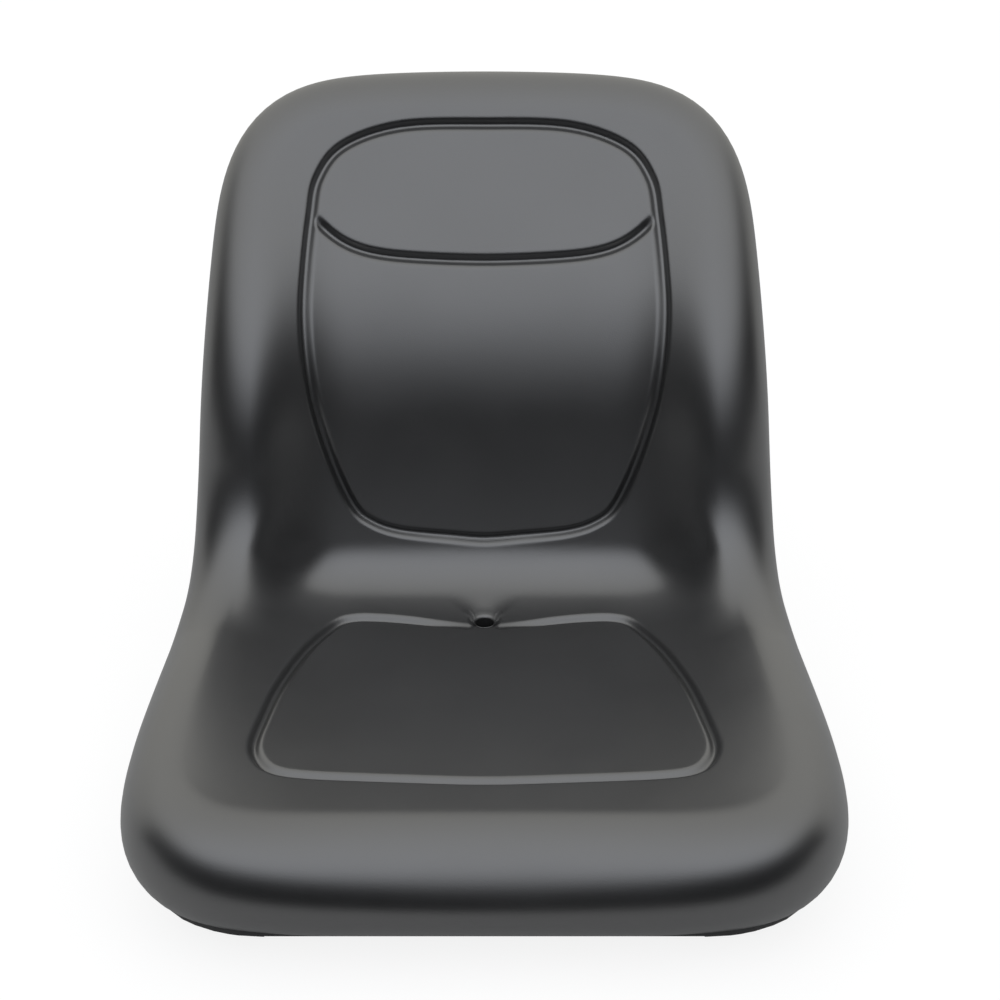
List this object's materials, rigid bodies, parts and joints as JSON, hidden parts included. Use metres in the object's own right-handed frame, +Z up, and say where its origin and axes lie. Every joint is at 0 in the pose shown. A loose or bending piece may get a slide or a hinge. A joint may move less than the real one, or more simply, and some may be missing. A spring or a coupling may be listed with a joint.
{
  "type": "ride on mower seat",
  "caption": "Bucket seat for a ride-on mower: moulded vinyl cushion, seat and back in one, with side bolsters and a drain hole, on a stamped steel pan.",
  "frame": {"origin": "centre of the four mounting holes, on the lower faces of the pan's pads", "axes": "+Z up, -Y to the front edge of the seat, +X to the sitter's left"},
  "size_m": [0.4896, 0.565, 0.4466],
  "materials": {
    "vinyl": "satin grained vinyl",
    "paint": "satin",
    "zinc": "zinc plated"
  },
  "bodies": {
    "root": {"cushion": "vinyl", "seat_pan": "paint", "weld_nuts": "zinc"}
  },
  "joints": []
}
